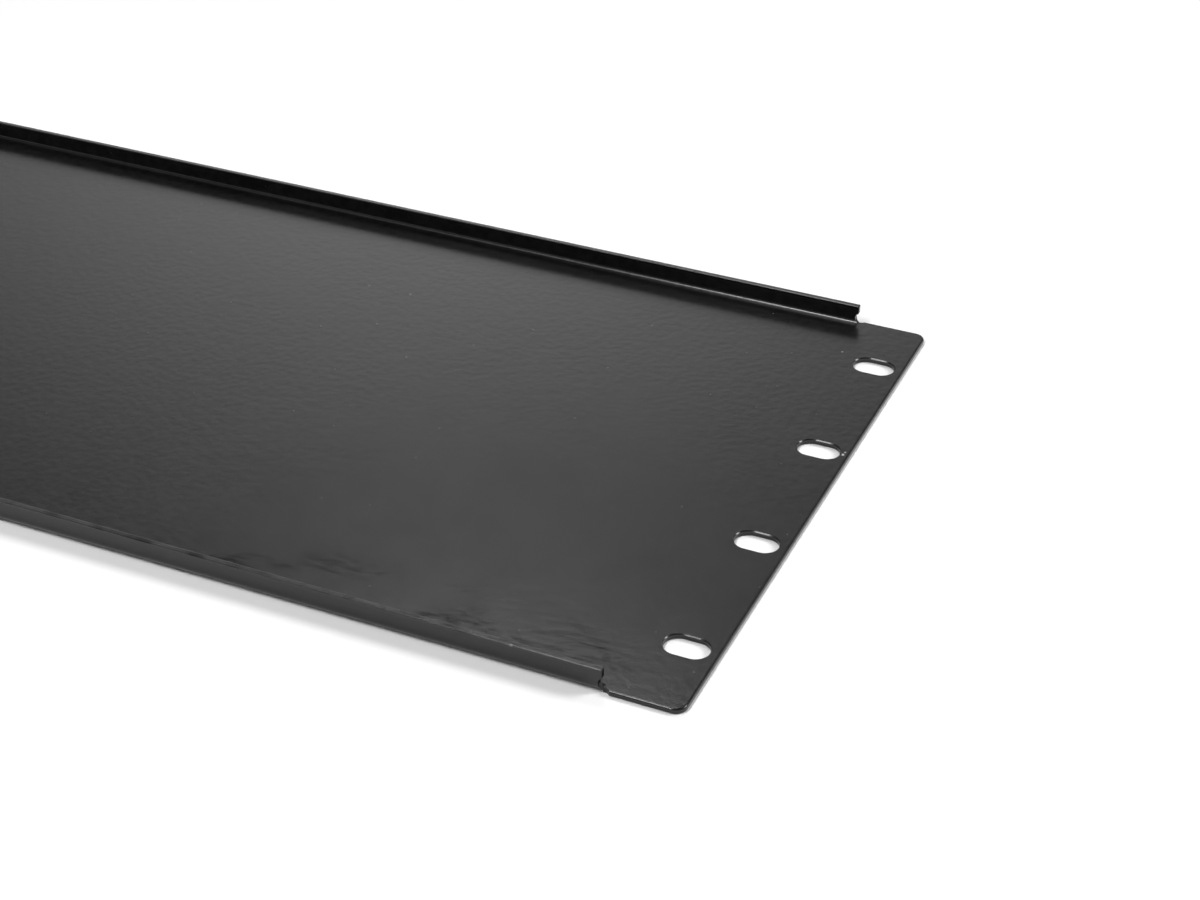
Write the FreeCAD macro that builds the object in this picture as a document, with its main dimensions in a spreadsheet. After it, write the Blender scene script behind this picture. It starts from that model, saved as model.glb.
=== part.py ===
"""Rack blanking panel: one steel sheet, cut out and folded, four rack units high.

The panel lies on its front face, as it would on a bench.  X runs along the panel, Y runs
across it and Z points up from the front face towards the rack.  The origin is the middle
of the front face.  All sizes are in millimetres and live in the spreadsheet "sizes".
"""
import FreeCAD, Part
import math
import os
import Sketcher
from FreeCAD import Vector

SIZES = [
    # alias, value, what it is
    ("rack_unit", 44.45, "height of one rack unit, and the step from slot to slot"),
    ("unit_count", 4, "rack units that the panel covers"),
    ("unit_gap", 0.8, "play left to the panels above and below"),
    ("panel_width", 482.6, "side edge to side edge"),
    ("sheet_thickness", 1.5, "steel sheet with its coat"),
    ("ear_length", 19.5, "end of a flange to the side edge"),
    ("ear_corner_radius", 3.0, "rounded corner of an ear"),
    ("flange_height", 6.7, "front face to the top of a flange"),
    ("bend_radius", 1.0, "inside radius of a fold"),
    ("slot_length", 11.3, "mounting slot, along the panel"),
    ("slot_width", 7.4, "mounting slot, across the panel"),
    ("slot_margin", 8.1, "centre of a slot to the side edge"),
    ("relief_radius", 1.4, "round relief where a fold meets an ear"),
    ("relief_offset", 0.5, "centre of a relief past the long edge of the ear"),
    ("relief_shift", 0.45, "centre of a relief past the end of the flange"),
    ("relief_lift", 0.1, "lowest point of a relief in the flange, above the ear"),
    ("rim_radius", 0.25, "rounding of the cut edges of a flange under the coat"),
    ("ear_edge_radius", 0.5, "rounding of the cut edges of an ear under the coat"),
    ("slot_chamfer", 0.25, "broken edge round a slot, on both faces"),
]

# Lengths that follow from the sizes, written the way the spreadsheet reads them.
HALF_HEIGHT = "(sizes.unit_count * sizes.rack_unit - sizes.unit_gap) / 2"
HALF_WIDTH = "sizes.panel_width / 2"
FLANGE_END = "(sizes.panel_width / 2 - sizes.ear_length)"
OUTER_BEND = "(sizes.bend_radius + sizes.sheet_thickness)"
BEND_LINE = HALF_HEIGHT + " - " + OUTER_BEND
FIRST_SLOT = "(1 - sizes.unit_count) * sizes.rack_unit / 2"
SLOT_CENTRE = "sizes.panel_width / 2 - sizes.slot_margin"
SLOT_REACH = "(sizes.slot_length - sizes.slot_width) / 2"
RELIEF_PLACE = FLANGE_END + " + sizes.relief_shift"
RELIEF_LEVEL = "sizes.sheet_thickness + sizes.relief_radius + sizes.relief_lift"
CLOSE = 1e-4


def make_sheet(doc):
    """Put every size in a cell of its own, with its alias and a note beside it."""
    sheet = doc.addObject("Spreadsheet::Sheet", "sizes")
    for row, (alias, value, note) in enumerate(SIZES, start=1):
        sheet.set("A%d" % row, note)
        sheet.set("B%d" % row, str(value))
        sheet.setAlias("B%d" % row, alias)
    doc.recompute()


def origin_feature(body, role):
    """An origin plane or axis of the body, found by its role."""
    return next(item for item in body.Origin.OriginFeatures if item.Role == role)


def measure(item, *expressions):
    """What the spreadsheet gives now for one or more lengths."""
    return [float(item.evalExpression(text)) for text in expressions]


def new_sketch(body, name, role):
    """An empty sketch on one of the body's own origin planes."""
    sketch = body.newObject("Sketcher::SketchObject", name)
    sketch.AttachmentSupport = [(origin_feature(body, role), "")]
    sketch.MapMode = "FlatFace"
    return sketch


def line(sketch, start, end):
    return sketch.addGeometry(Part.LineSegment(Vector(*start), Vector(*end)))


def arc(sketch, centre, radius, first, last):
    """An arc that runs anticlockwise from one angle to another, in degrees."""
    circle = Part.Circle(Vector(*centre), Vector(0, 0, 1), radius)
    return sketch.addGeometry(Part.ArcOfCircle(circle, math.radians(first), math.radians(last)))


def tie(sketch, kind, *references):
    sketch.addConstraint(Sketcher.Constraint(kind, *references))


def follow(sketch, kind, *curves):
    """Join each curve's end to the start of the next."""
    for first, second in zip(curves, curves[1:]):
        tie(sketch, kind, first, 2, second, 1)


def drive(sketch, kind, references, expression):
    """Add a dimension to a sketch and bind it to the spreadsheet."""
    value = measure(sketch, expression)[0]
    index = sketch.addConstraint(Sketcher.Constraint(kind, *references, value))
    sketch.setExpression("Constraints[%d]" % index, expression)


def locate(sketch, curve, point, across, along):
    """Give a point its two distances from the sketch's origin."""
    drive(sketch, "DistanceX", (-1, 1, curve, point), across)
    drive(sketch, "DistanceY", (-1, 1, curve, point), along)


def extrude(body, kind, name, sketch, length):
    """Pad or pocket a sketch by a length bound to the spreadsheet."""
    feature = body.newObject(kind, name)
    feature.Profile = sketch
    feature.setExpression("Length", length)
    return feature


def mirror(body, name, role, originals=()):
    """Repeat features on the other side of one of the body's origin planes."""
    feature = body.newObject("PartDesign::Mirrored", name)
    feature.MirrorPlane = (origin_feature(body, role), [""])
    if originals:
        feature.Originals = list(originals)
        body.Tip = feature
    return feature


def repeat(body, name, originals, steps):
    """Repeat features by several steps, one after the other."""
    feature = body.newObject("PartDesign::MultiTransform", name)
    feature.Originals = originals
    feature.Transformations = steps
    body.Tip = feature


def add_web(body):
    """The flat sheet between the two folds."""
    sketch = new_sketch(body, "web_outline", "XY_Plane")
    end, side = measure(sketch, FLANGE_END, BEND_LINE)
    bottom = line(sketch, (-end, -side), (end, -side))
    right = line(sketch, (end, -side), (end, side))
    top = line(sketch, (end, side), (-end, side))
    left = line(sketch, (-end, side), (-end, -side))
    follow(sketch, "Coincident", bottom, right, top, left, bottom)
    for curve in (bottom, top):
        tie(sketch, "Horizontal", curve)
    for curve in (right, left):
        tie(sketch, "Vertical", curve)
    tie(sketch, "Symmetric", bottom, 1, top, 1, -1, 1)
    locate(sketch, top, 1, FLANGE_END, BEND_LINE)
    extrude(body, "PartDesign::Pad", "web", sketch, "sizes.sheet_thickness")


def add_folds(body):
    """The two long edges of the sheet, each bent up through a right angle."""
    sketch = new_sketch(body, "fold_profile", "YZ_Plane")
    middle, outer, inner, thick, top = measure(
        sketch, BEND_LINE, OUTER_BEND, "sizes.bend_radius", "sizes.sheet_thickness",
        "sizes.flange_height")
    outer_arc = arc(sketch, (middle, outer, 0), outer, 270, 360)
    outer_wall = line(sketch, (middle + outer, outer), (middle + outer, top))
    rim = line(sketch, (middle + outer, top), (middle + inner, top))
    inner_wall = line(sketch, (middle + inner, top), (middle + inner, outer))
    inner_arc = arc(sketch, (middle, outer, 0), inner, 270, 360)
    root = line(sketch, (middle, thick), (middle, 0))
    follow(sketch, "Tangent", outer_arc, outer_wall)
    follow(sketch, "Coincident", outer_wall, rim, inner_wall)
    tie(sketch, "Tangent", inner_wall, 2, inner_arc, 2)
    tie(sketch, "Coincident", inner_arc, 1, root, 1)
    follow(sketch, "Coincident", root, outer_arc)
    tie(sketch, "Coincident", inner_arc, 3, outer_arc, 3)
    tie(sketch, "Horizontal", rim)
    for curve in (outer_wall, inner_wall, root):
        tie(sketch, "Vertical", curve)
    tie(sketch, "Vertical", outer_arc, 3, outer_arc, 1)
    locate(sketch, outer_arc, 3, BEND_LINE, OUTER_BEND)
    drive(sketch, "Radius", (outer_arc,), OUTER_BEND)
    drive(sketch, "Radius", (inner_arc,), "sizes.bend_radius")
    drive(sketch, "DistanceY", (-1, 1, rim, 1), "sizes.flange_height")
    fold = extrude(body, "PartDesign::Pad", "fold", sketch, "2 * " + FLANGE_END)
    fold.SideType = "Symmetric"
    mirror(body, "other_fold", "XZ_Plane", [fold])


def add_ears(body):
    """The flat ears past the ends of the flanges, with two rounded corners each."""
    sketch = new_sketch(body, "ear_outline", "XY_Plane")
    start, side, half, corner = measure(
        sketch, FLANGE_END, HALF_WIDTH, HALF_HEIGHT, "sizes.ear_corner_radius")
    lower = line(sketch, (start, -half), (side - corner, -half))
    lower_corner = arc(sketch, (side - corner, corner - half, 0), corner, 270, 360)
    edge = line(sketch, (side, corner - half), (side, half - corner))
    upper_corner = arc(sketch, (side - corner, half - corner, 0), corner, 0, 90)
    upper = line(sketch, (side - corner, half), (start, half))
    root = line(sketch, (start, half), (start, -half))
    follow(sketch, "Tangent", lower, lower_corner, edge, upper_corner, upper)
    follow(sketch, "Coincident", upper, root, lower)
    for curve in (lower, upper):
        tie(sketch, "Horizontal", curve)
    tie(sketch, "Vertical", edge)
    tie(sketch, "Symmetric", root, 1, root, 2, -1)
    locate(sketch, root, 1, FLANGE_END, HALF_HEIGHT)
    drive(sketch, "DistanceX", (-1, 1, edge, 1), HALF_WIDTH)
    for curve in (lower_corner, upper_corner):
        drive(sketch, "Radius", (curve,), "sizes.ear_corner_radius")
    ear = extrude(body, "PartDesign::Pad", "ear", sketch, "sizes.sheet_thickness")
    mirror(body, "other_ear", "YZ_Plane", [ear])


def relief_circle(body, name, role, level):
    """A round relief beside the end of a fold, seen square to one leg of the fold."""
    sketch = new_sketch(body, name, role)
    place, height, radius = measure(sketch, RELIEF_PLACE, level, "sizes.relief_radius")
    circle = sketch.addGeometry(Part.Circle(Vector(place, height), Vector(0, 0, 1), radius))
    locate(sketch, circle, 3, RELIEF_PLACE, level)
    drive(sketch, "Radius", (circle,), "sizes.relief_radius")
    return sketch


def add_reliefs(body):
    """Round reliefs that let the sheet fold beside the ears: one hole, bent with the sheet.

    Its lower part stands through the ear and the foot of the fold, and its upper part goes
    through the flange from outside, as deep as the fold.
    """
    beside = "-" + HALF_HEIGHT + " - sizes.relief_offset"
    foot = extrude(body, "PartDesign::Pocket", "relief_foot",
                   relief_circle(body, "relief_plan", "XY_Plane", beside), RELIEF_LEVEL)
    foot.Reversed = True
    elevation = relief_circle(body, "relief_elevation", "XZ_Plane", RELIEF_LEVEL)
    elevation.setExpression("AttachmentOffset.Base.z", HALF_HEIGHT)
    wall = extrude(body, "PartDesign::Pocket", "relief_wall", elevation, OUTER_BEND)
    repeat(body, "all_reliefs", [foot, wall],
           [mirror(body, "relief_across", "XZ_Plane"), mirror(body, "relief_along", "YZ_Plane")])


def add_slots(body):
    """A mounting slot in the middle of each rack unit, on both ears."""
    sketch = new_sketch(body, "slot_outline", "XY_Plane")
    centre, reach, level, width = measure(
        sketch, SLOT_CENTRE, SLOT_REACH, FIRST_SLOT, "sizes.slot_width")
    radius = width / 2
    left, right = centre - reach, centre + reach
    bottom = line(sketch, (left, level - radius), (right, level - radius))
    right_end = arc(sketch, (right, level, 0), radius, -90, 90)
    top = line(sketch, (right, level + radius), (left, level + radius))
    left_end = arc(sketch, (left, level, 0), radius, 90, 270)
    follow(sketch, "Tangent", bottom, right_end, top, left_end, bottom)
    for curve in (bottom, top):
        tie(sketch, "Horizontal", curve)
    locate(sketch, right_end, 3, SLOT_CENTRE + " + " + SLOT_REACH, FIRST_SLOT)
    drive(sketch, "DistanceX", (-1, 1, left_end, 3), SLOT_CENTRE + " - " + SLOT_REACH)
    drive(sketch, "Radius", (right_end,), "sizes.slot_width / 2")
    slot = extrude(body, "PartDesign::Pocket", "slot", sketch, "sizes.sheet_thickness")
    slot.Reversed = True
    row = body.newObject("PartDesign::LinearPattern", "slot_row")
    row.Direction = (origin_feature(body, "Y_Axis"), [""])
    row.Mode = "Spacing"
    row.setExpression("Offset", "sizes.rack_unit")
    row.setExpression("Occurrences", "sizes.unit_count")
    repeat(body, "all_slots", [slot], [row, mirror(body, "slots_along", "YZ_Plane")])


def face_edge(edge, thick):
    """True for an edge that lies in the front or the back face of the sheet."""
    level = edge.BoundBox.ZMin
    return edge.BoundBox.ZLength < CLOSE and min(abs(level), abs(level - thick)) < CLOSE


def break_slots(body):
    """Chamfer both rims of every slot."""
    centre, reach, thick = measure(body, SLOT_CENTRE, SLOT_REACH, "sizes.sheet_thickness")

    def slot_rim(edge):
        return face_edge(edge, thick) and all(
            abs(abs(abs(vertex.X) - centre) - reach) < CLOSE for vertex in edge.Vertexes)

    dress(body, "PartDesign::Chamfer", "slot_chamfer", "Size", "sizes.slot_chamfer", slot_rim)


def round_flanges(body):
    """Round the top of each flange and its two ends above the reliefs."""
    end, level, top = measure(body, FLANGE_END, RELIEF_LEVEL, "sizes.flange_height")

    def flange_rim(edge):
        middle = edge.valueAt((edge.FirstParameter + edge.LastParameter) / 2)
        if edge.BoundBox.ZLength < CLOSE and abs(middle.z - top) < CLOSE:
            return True
        at_end = abs(abs(middle.x) - end) < CLOSE and edge.Curve.TypeId == "Part::GeomLine"
        return at_end and middle.z > level

    dress(body, "PartDesign::Fillet", "flange_rounding", "Radius", "sizes.rim_radius",
          flange_rim)


def round_ears(body):
    """Round the outline of each ear on both faces, from one relief to the other."""
    end, thick, centre, reach = measure(
        body, FLANGE_END, "sizes.sheet_thickness", SLOT_CENTRE,
        "sizes.slot_length / 2 + sizes.slot_chamfer")

    def ear_outline(edge):
        past_relief = all(abs(vertex.X) > end + CLOSE for vertex in edge.Vertexes)
        at_slot = all(abs(abs(vertex.X) - centre) < reach for vertex in edge.Vertexes)
        return face_edge(edge, thick) and past_relief and not at_slot

    dress(body, "PartDesign::Fillet", "ear_rounding", "Radius", "sizes.ear_edge_radius",
          ear_outline)


def dress(body, kind, name, dimension, size, wanted):
    """Round or chamfer the edges that a rule picks out of the body as it is so far."""
    body.Document.recompute()
    base = body.Tip
    names = ["Edge%d" % number for number, edge in enumerate(base.Shape.Edges, start=1)
             if wanted(edge)]
    feature = body.newObject(kind, name)
    feature.Base = (base, names)
    feature.setExpression(dimension, size)
    body.Tip = feature


def make_panel(doc):
    """The whole panel, one folded sheet."""
    body = doc.addObject("PartDesign::Body", "blanking_panel")
    body.Label = "blanking_panel"
    add_web(body)
    add_folds(body)
    add_ears(body)
    add_reliefs(body)
    add_slots(body)
    break_slots(body)
    round_flanges(body)
    round_ears(body)
    return body


def check(doc, bodies):
    """Stop if anything in the document failed, or a shape isn't one sound solid."""
    for item in doc.Objects:
        if {"Invalid", "Error"} & set(item.State):
            raise RuntimeError("%s failed: %s" % (item.Label, item.State))
        if item.TypeId == "Sketcher::SketchObject" and not item.FullyConstrained:
            raise RuntimeError("%s is not fully constrained" % item.Label)
    for body in bodies:
        shape = body.Shape
        if shape.isNull() or not shape.isValid() or len(shape.Solids) != 1:
            raise RuntimeError("%s has no sound solid" % body.Label)


def main():
    doc = FreeCAD.newDocument("rack_blanking_panel")
    make_sheet(doc)
    bodies = [make_panel(doc)]
    doc.recompute()
    check(doc, bodies)
    os.makedirs("parts", exist_ok=True)
    for body in bodies:
        body.Shape.exportStep("parts/%s.step" % body.Label)


main()
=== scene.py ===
"""Rack blanking panel, dressed: a folded steel sheet in satin black powder coat,
lying on its front face on a pale studio floor."""

from math import cos, radians, sin

import bpy
from mathutils import Matrix, Vector


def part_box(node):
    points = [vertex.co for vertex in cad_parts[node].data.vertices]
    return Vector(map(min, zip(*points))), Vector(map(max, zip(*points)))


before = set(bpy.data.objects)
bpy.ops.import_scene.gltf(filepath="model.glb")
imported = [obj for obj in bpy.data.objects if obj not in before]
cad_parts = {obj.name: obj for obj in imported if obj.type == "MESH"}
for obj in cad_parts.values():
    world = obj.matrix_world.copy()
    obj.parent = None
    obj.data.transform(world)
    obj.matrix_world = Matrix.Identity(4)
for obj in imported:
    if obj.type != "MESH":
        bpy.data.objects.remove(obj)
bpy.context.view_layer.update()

PANEL = "blanking_panel"
LOW, HIGH = (Vector(corner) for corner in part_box(PANEL))

# where the soft light behind the panel comes from, in degrees from +Y towards +X
BACK_AZIMUTH = -27.0


# --- shader graphs ---------------------------------------------------------

class Wire:
    """One output socket. Python's operators on it add Math nodes."""

    def __init__(self, graph, socket):
        self.graph, self.socket = graph, socket

    def math(self, operation, *values):
        return self.graph.node("Math", {"operation": operation}, dict(enumerate(values)))

    def __add__(self, other):
        return self.math("ADD", self, other)

    def __sub__(self, other):
        return self.math("SUBTRACT", self, other)

    def __mul__(self, other):
        return self.math("MULTIPLY", self, other)

    def __truediv__(self, other):
        return self.math("DIVIDE", self, other)

    def __abs__(self):
        return self.math("ABSOLUTE", self)

    __radd__, __rmul__ = __add__, __mul__

    def most(self, other):
        return self.math("MAXIMUM", self, other)

    def rise(self, start, end):
        """0 below start, 1 above end, smooth between; start may be the higher."""
        return self.graph.node("MapRange", {"interpolation_type": "SMOOTHSTEP"},
                               {"Value": self, "From Min": start, "From Max": end,
                                "To Min": 0.0, "To Max": 1.0})


class Graph:
    """The node tree of one material or of the world."""

    def __init__(self, owner):
        owner.use_nodes = True
        self.tree = owner.node_tree
        self.tree.nodes.clear()

    def node(self, kind, settings=None, inputs=None, output=0):
        made = self.tree.nodes.new("ShaderNode" + kind)
        for name, value in (settings or {}).items():
            setattr(made, name, value)
        for name, value in (inputs or {}).items():
            if isinstance(value, Wire):
                self.tree.links.new(value.socket, made.inputs[name])
            else:
                made.inputs[name].default_value = value
        return Wire(self, made.outputs[output]) if made.outputs else made

    def place(self):
        return self.node("TexCoord", output="Object")

    def split(self, vector):
        first = self.node("SeparateXYZ", inputs={0: vector})
        return [Wire(self, socket) for socket in first.socket.node.outputs]

    def noise(self, where, size, detail=2.0, rough=0.5, output=0):
        """Cloudy pattern whose blobs are about size metres across."""
        return self.node("TexNoise", {}, {"Vector": where, "Scale": 1.0 / size,
                                          "Detail": detail, "Roughness": rough}, output)

    def moved(self, where, shift, turn=0.0, stretch=(1.0, 1.0, 1.0)):
        return self.node("Mapping", {"vector_type": "POINT"},
                         {"Vector": where, "Location": shift,
                          "Rotation": (0.0, 0.0, turn), "Scale": stretch})

    def blend(self, share, first, second):
        """Colour between first (share 0) and second (share 1)."""
        made = self.tree.nodes.new("ShaderNodeMix")
        made.data_type = "RGBA"
        for index, value in ((0, share), (6, first), (7, second)):
            if isinstance(value, Wire):
                self.tree.links.new(value.socket, made.inputs[index])
            else:
                made.inputs[index].default_value = value
        return Wire(self, made.outputs[2])

    def seen(self):
        """1 for rays that show a surface: straight, mirrored or through glass."""
        rays = self.node("LightPath").socket.node.outputs
        names = "Is Camera Ray", "Is Glossy Ray", "Is Transmission Ray"
        camera, glossy, through = (Wire(self, rays[name]) for name in names)
        return camera.most(glossy).most(through)


def grey(level):
    return (level, level, level, 1.0)


# --- the powder coat -------------------------------------------------------

# the palest of these greys is worn coat and a painted highlight along the near rim
DARK_COAT, PALE_COAT, RIM_WEAR_AND_HIGHLIGHT_COAT = grey(0.0005), grey(0.0090), grey(0.034)
DUST = (0.17, 0.166, 0.158, 1.0)
BARE_STEEL = (0.56, 0.55, 0.53, 1.0)

# single marks: middle (X, Y) and half sizes in metres, turn in radians, softness
CRATER = (0.0608, 0.0101), (0.0009, 0.0007), 0.0, 0.9
SCRATCH = (0.2147, -0.0753), (0.0060, 0.00030), 0.04, 0.6
FLECK = (0.2229, 0.0705), (0.0004, 0.0004), 0.0, 0.6
CHIP = (0.23975, 0.0222), (0.00042, 0.00055), 0.3, 0.3
CHIP_TAIL = (0.2399, 0.0234), (0.00036, 0.00036), 0.0, 0.4
NICK = (0.1996, -0.0886), (0.0005, 0.0007), 0.0, 0.4

# relief of the coat, in metres
PEEL_HEIGHT, GRAIN_HEIGHT, GRIT_HEIGHT = 3.4e-5, 3.0e-6, 6.0e-6
CRATERS_DEPTH, CRATER_DEPTH = 8.0e-6, 1.6e-5
RUBBED_HEIGHT, BARE_DEPTH = 1.0e-6, 1.0e-5

def scatter(g, sheet, spacing, radius, share):
    """Round dots strewn over the sheet, 1 at their middles. The share is that of
    the cells, each about as wide as the spacing, that hold a dot."""
    away = g.node("TexVoronoi", {"voronoi_dimensions": "2D", "feature": "F1"},
                  {"Vector": sheet, "Scale": 1.0 / spacing, "Randomness": 0.9},
                  output="Distance")
    luck, weight, _ = g.split(Wire(g, away.socket.node.outputs["Color"]))
    reach = (0.35 + 0.65 * weight) * (radius / spacing)
    return (away / reach).rise(1.0, 0.3) * luck.rise(share, share - 0.01)


def spot(g, where, middle, size, turn, soft):
    """One oblong mark, 1 inside and fading to 0 over the soft share of its radius."""
    local = g.node("Mapping", {"vector_type": "TEXTURE"}, {
        "Vector": where, "Location": (*middle, 0.0), "Rotation": (0.0, 0.0, turn),
        "Scale": (*size, 1.0)})
    out = g.node("VectorMath", {"operation": "LENGTH"}, {0: local}, output="Value")
    return out.rise(1.0, 1.0 - soft)


def powder_coat():
    """Satin black polyester powder: a nearly black body whose grey is all gloss,
    with fine orange peel, grit under the coat, dust on it and shipping scuffs."""
    finish = bpy.data.materials.new("satin_black_powder_coat")
    g = Graph(finish)
    where = g.place()
    x, y, z = g.split(where)
    unfolded = g.node("CombineXYZ", {}, {0: x, 1: y + z, 2: 0.0})
    sheet = g.node("VectorMath", {"operation": "MULTIPLY_ADD"}, {
        0: g.noise(where, 0.0007, 2.0, output=1),
        1: (0.0007, 0.0007, 0.0), 2: unfolded})
    upper = z.rise(0.0004, 0.0009)
    clouds = g.noise(where, 0.035, 3.0)
    mottle = g.noise(where, 0.008, 2.0, 0.6)

    # the surface of the coat
    peel = g.noise(where, 0.0020, 2.0, 0.45)
    grain = g.noise(where, 0.0006, 1.0)
    grit = scatter(g, sheet, 0.009, 0.0006, 0.30)
    craters = scatter(g, g.moved(sheet, (0.31, 0.17, 0.0)), 0.030, 0.0009, 0.35)
    crater = spot(g, where, *CRATER)

    # rubbed streaks along the near fold, where panels slide on each other
    rubbed = g.noise(g.moved(where, (0.4, 0.0, 0.0), 0.05, (0.25, 1.0, 1.0)),
                     0.0016, 3.0, 0.7)
    patches = g.noise(g.moved(where, (0.0, 0.9, 0.0), 0.0, (0.6, 1.0, 1.0)), 0.016, 2.0)
    near = y.rise(LOW.y + 0.026, LOW.y + 0.012)
    scuffs = near * patches.rise(0.42, 0.60) * rubbed.rise(0.40, 0.62) * upper
    scratch = spot(g, where, *SCRATCH) * upper

    # dust, the chip beside a slot, and a paler coat along the near rim: partly wear,
    # partly a painted highlight that brightens the rim line
    dust = scatter(g, g.moved(sheet, (0.07, 0.53, 0.0)), 0.014, 0.00034, 0.30)
    fleck = spot(g, where, *FLECK) * upper
    chip = spot(g, where, *CHIP).most(0.7 * spot(g, where, *CHIP_TAIL)) * upper
    rim = z.rise(HIGH.z - 0.0006, HIGH.z - 0.0001)
    rim_wear_and_painted_highlight = rim * y.rise(0.0, LOW.y) * mottle.rise(0.2, 0.6)
    nick = spot(g, where, *NICK) * rim
    bare = chip.most(0.25 * nick)

    height = (peel * PEEL_HEIGHT + grain * GRAIN_HEIGHT + grit * GRIT_HEIGHT
              - craters * CRATERS_DEPTH - crater * CRATER_DEPTH
              + rubbed * scuffs * RUBBED_HEIGHT - bare * BARE_DEPTH)
    normal = g.node("Bump", {}, {"Strength": 1.0, "Distance": 1.0, "Height": height})
    body = g.blend(0.35 * clouds + 0.25 * mottle + 0.4 * peel.rise(0.35, 0.65),
                   DARK_COAT, PALE_COAT)
    # paler coat on the near rim only: wear and a painted highlight on the rim line
    body = g.blend(rim_wear_and_painted_highlight, body, RIM_WEAR_AND_HIGHLIGHT_COAT)
    body = g.blend((0.16 * dust).most(fleck), body, DUST)
    shell = g.node("BsdfPrincipled", {}, {
        "Base Color": g.blend(bare, body, BARE_STEEL),
        "Metallic": bare,
        "Roughness": (0.21 + 0.03 * clouds + 0.03 * mottle - 0.08 * scuffs
                      - 0.09 * scratch + 0.10 * dust - 0.03 * rim + 0.15 * bare),
        "IOR": 1.5,
        "Normal": normal,
    })
    g.node("OutputMaterial", inputs={"Surface": shell})
    return finish


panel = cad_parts[PANEL]
coat = powder_coat()
for slot in panel.material_slots:
    slot.material = coat


# --- the studio ------------------------------------------------------------

FLOOR_SHADE, FLOOR_SEEN = grey(0.80), grey(1.0)
FLOOR_REACH = 6.0
AMBIENT, BACK_GLOW, LOW_WALLS = 0.16, 1.6, 0.85
WATTS_PER_SQUARE_METRE = 4.0  # of a lamp whose strength is 1

def studio_floor():
    """Pale floor, white where nothing shades it."""
    finish = bpy.data.materials.new("pale_floor")
    g = Graph(finish)
    shade = g.blend(g.seen(), FLOOR_SHADE, FLOOR_SEEN)
    white = g.node("BsdfDiffuse", {}, {"Color": shade})
    g.node("OutputMaterial", inputs={"Surface": white})
    mesh = bpy.data.meshes.new("floor")
    corners = ((-1, -1), (1, -1), (1, 1), (-1, 1))
    mesh.from_pydata([(i * FLOOR_REACH, j * FLOOR_REACH, LOW.z) for i, j in corners],
                     [], [(0, 1, 2, 3)])
    floor = bpy.data.objects.new("floor", mesh)
    bpy.context.scene.collection.objects.link(floor)
    mesh.materials.append(finish)


def studio_world():
    """Dim studio with paler walls and one broad soft glow low behind the panel."""
    world = bpy.data.worlds.new("soft_studio")
    bpy.context.scene.world = world
    g = Graph(world)
    x, y, z = g.split(g.node("TexCoord", output="Generated"))
    turn = radians(BACK_AZIMUTH)
    side, ahead = x * cos(turn) - y * sin(turn), x * sin(turn) + y * cos(turn)
    glow = (ahead.rise(0.0, 0.3) * abs(side).rise(0.40, 0.0)
            * z.rise(0.10, 0.30) * z.rise(0.58, 0.46))
    strength = AMBIENT + BACK_GLOW * glow + LOW_WALLS * z.rise(0.30, 0.05)
    sky = g.node("Background", {}, {"Color": grey(1.0), "Strength": strength})
    g.node("OutputWorld", inputs={"Surface": sky})


def softbox(name, azimuth, height, distance, size, strength, aim):
    """Square or oblong lamp; azimuth from +Y towards +X, both angles in degrees."""
    turn, rise = radians(azimuth), radians(height)
    away = Vector((sin(turn) * cos(rise), cos(turn) * cos(rise), sin(rise)))
    lamp = bpy.data.lights.new(name, "AREA")
    lamp.shape = "RECTANGLE"
    lamp.size, lamp.size_y = size
    lamp.energy = strength * size[0] * size[1] * WATTS_PER_SQUARE_METRE
    made = bpy.data.objects.new(name, lamp)
    made.location = aim + away * distance
    along = (Vector((1, 0, 0)) - away * away.x).normalized()
    made.rotation_euler = Matrix((along, away.cross(along), away)).transposed().to_euler()
    made.visible_camera = False
    bpy.context.scene.collection.objects.link(made)


studio_floor()
studio_world()
middle, right = Vector((0.10, 0.0, 0.0)), Vector((0.20, 0.0, 0.0))
softbox("back_softbox", BACK_AZIMUTH, 52.0, 2.2, (0.40, 0.50), 7.7, middle)
softbox("right_softbox", 62.0, 36.0, 2.2, (1.00, 0.60), 10.5, middle)
softbox("front_strip", -148.0, 61.0, 1.5, (0.16, 0.90), 21.0, right)


# --- the camera ------------------------------------------------------------

def studio_camera(place, aim, lens):
    data = bpy.data.cameras.new("camera")
    data.sensor_width, data.lens = 36.0, lens
    data.clip_start, data.clip_end = 0.01, 50.0
    made = bpy.data.objects.new("camera", data)
    made.location = place
    line = Vector(aim) - Vector(place)
    made.rotation_euler = line.to_track_quat("-Z", "Y").to_euler()
    bpy.context.scene.collection.objects.link(made)
    bpy.context.scene.camera = made


studio_camera((0.38234, -0.44851, 0.32477), (0.18141, 0.00100, 0.0), 68.892)
bpy.context.scene.view_settings.view_transform = "Standard"
